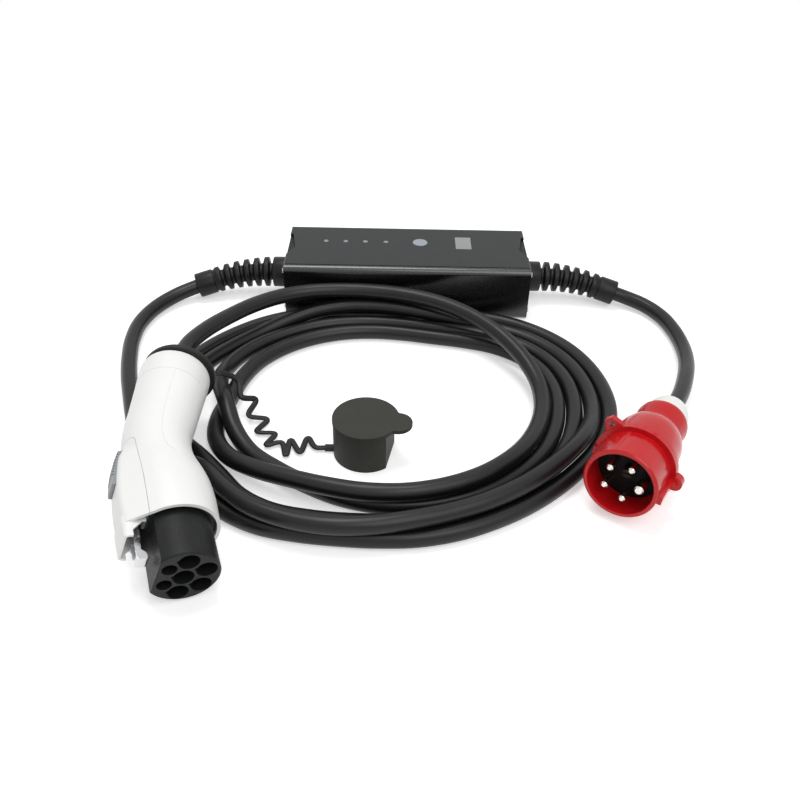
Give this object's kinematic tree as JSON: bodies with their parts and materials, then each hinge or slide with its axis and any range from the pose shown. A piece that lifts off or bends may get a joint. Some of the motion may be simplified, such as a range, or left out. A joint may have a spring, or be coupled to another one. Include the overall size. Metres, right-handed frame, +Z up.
{
  "type": "portable_ev_charger",
  "caption": "Portable electric-car charger: black control box with a display, white charging gun with dust cap, coiled black cable and red five-pin mains plug.",
  "frame": {"origin": "centre of the control box's base, on the floor", "axes": "X along the control box towards the mains plug's lead, Y from the coil towards the box, Z up"},
  "size_m": [0.5357, 0.4674, 0.0721],
  "materials": {
    "box_black": "moulded, gloss black",
    "film_grey": "matte dark grey film",
    "soft_black": "moulded, semi-matte",
    "steel": "zinc plated",
    "display_glass": "clear window over a grey display",
    "lens_plastic": "translucent, polished",
    "board_green": "solder mask on glass fibre laminate",
    "plated_brass": "nickel or silver plated",
    "matte_black": "moulded, fine matte grain",
    "coil_yellow": "insulating tape",
    "terminal_green": "moulded",
    "gun_white": "moulded, satin white",
    "chrome_steel": "polished",
    "button_grey": "moulded, ribbed",
    "cap_grey": "moulded, matte dark olive grey",
    "plug_red": "moulded, gloss signal red",
    "nut_white": "moulded, satin white",
    "cable_black": "extruded jacket, semi-matte"
  },
  "bodies": {
    "charger": {"box_sleeve": "box_black", "top_film": "film_grey", "end_cap_left": "box_black", "end_cap_right": "box_black", "gasket_left": "soft_black", "gasket_right": "soft_black", "end_screws": "steel", "display_window": "display_glass", "indicator_lens": "lens_plastic", "led_lenses": "lens_plastic", "relief_left": "soft_black", "relief_right": "soft_black", "main_board": "board_green", "display_board": "board_green", "board_pillars": "plated_brass", "display_module": "matte_black", "relays": "matte_black", "current_sensor": "matte_black", "power_supply": "coil_yellow", "terminal_left": "terminal_green", "terminal_right": "terminal_green", "gun_housing": "gun_white", "latch_cover": "gun_white", "grip_inlay": "gun_white", "rear_collar": "gun_white", "gun_nose": "matte_black", "power_contacts": "plated_brass", "signal_contacts": "plated_brass", "latch_bracket": "steel", "latch_pin": "steel", "latch_spring": "steel", "microswitch": "matte_black", "gun_gland": "soft_black", "dust_cap": "cap_grey", "cap_strap": "soft_black", "plug_shroud": "plug_red", "plug_carrier": "matte_black", "phase_pins": "plated_brass", "earth_pin": "plated_brass", "carrier_screw": "steel", "plug_body": "plug_red", "plug_nut": "nut_white", "plug_seal": "soft_black", "box_lead": "cable_black", "cable_coil": "cable_black", "gun_lead": "cable_black", "plug_lead": "cable_black"},
    "latch": {"latch_lever": "chrome_steel", "latch_button": "button_grey"}
  },
  "joints": [
    {"name": "latch_pivot", "type": "hinge", "parent": "charger", "child": "latch", "pos_m": [-0.18763, -0.36933, 0.04273], "axis": [-0.3633, 0.0021, -0.9317], "range_deg": [0, 7], "stiffness_Nm_per_rad": 0.4, "springref_deg": -11.46, "deforming": ["latch_spring"]}
  ]
}
